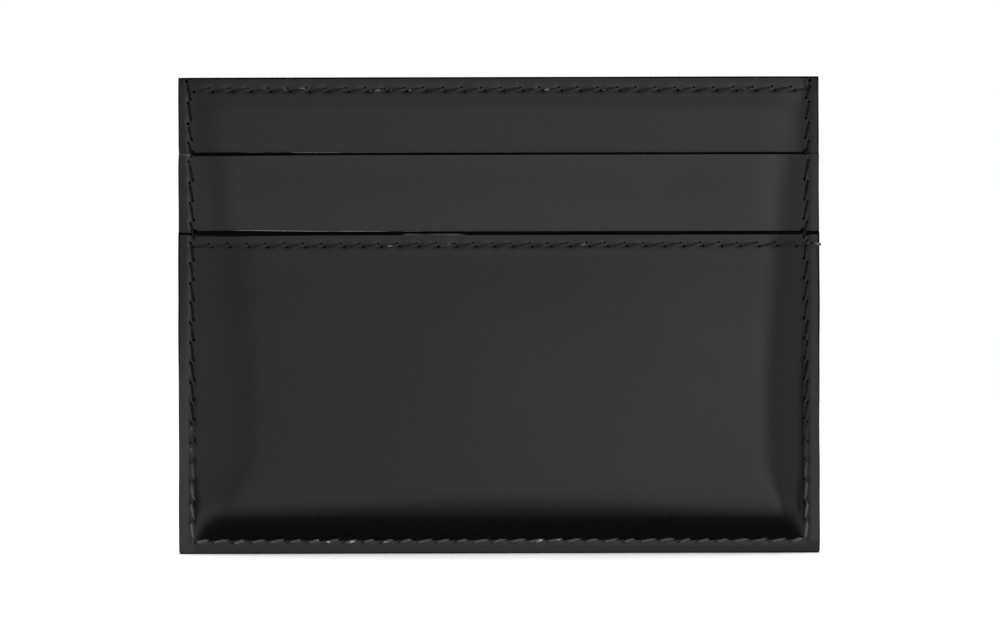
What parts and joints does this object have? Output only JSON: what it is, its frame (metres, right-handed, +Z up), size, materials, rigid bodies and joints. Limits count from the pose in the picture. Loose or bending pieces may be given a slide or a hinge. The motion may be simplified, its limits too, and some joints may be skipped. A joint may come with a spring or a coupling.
{
  "type": "card holder",
  "caption": "Flat leather card holder with stepped card slots on each face, a centre pocket open at the top, painted edges and sewn seams.",
  "frame": {"origin": "under the middle of the bottom edge, halfway through the thickness", "axes": "+X along the width, to the right seen from the front; +Y through the thickness, towards the back; +Z up, towards the pocket mouths"},
  "size_m": [0.1, 0.0096, 0.0743],
  "materials": {
    "leather": "smooth black calf leather, polished to a soft sheen",
    "lining": "black twill lining",
    "thread": "black bonded sewing thread with a slight shine",
    "edge_paint": "black edge paint, satin"
  },
  "bodies": {
    "root": {"front_panel": "leather", "front_panel_lining": "lining", "front_upper_pocket": "leather", "front_upper_pocket_lining": "lining", "front_lower_pocket": "leather", "front_lower_pocket_lining": "lining", "front_top_thread": "thread", "front_mouth_thread": "thread", "front_stop_thread": "thread", "front_top_paint": "edge_paint", "front_upper_mouth_paint": "edge_paint", "front_lower_mouth_paint": "edge_paint", "back_panel": "leather", "back_panel_lining": "lining", "back_upper_pocket": "leather", "back_upper_pocket_lining": "lining", "back_lower_pocket": "leather", "back_lower_pocket_lining": "lining", "back_top_thread": "thread", "back_mouth_thread": "thread", "back_stop_thread": "thread", "back_top_paint": "edge_paint", "back_upper_mouth_paint": "edge_paint", "back_lower_mouth_paint": "edge_paint", "rim_needle_thread": "thread", "rim_bobbin_thread": "thread", "rim_paint": "edge_paint"}
  },
  "joints": []
}
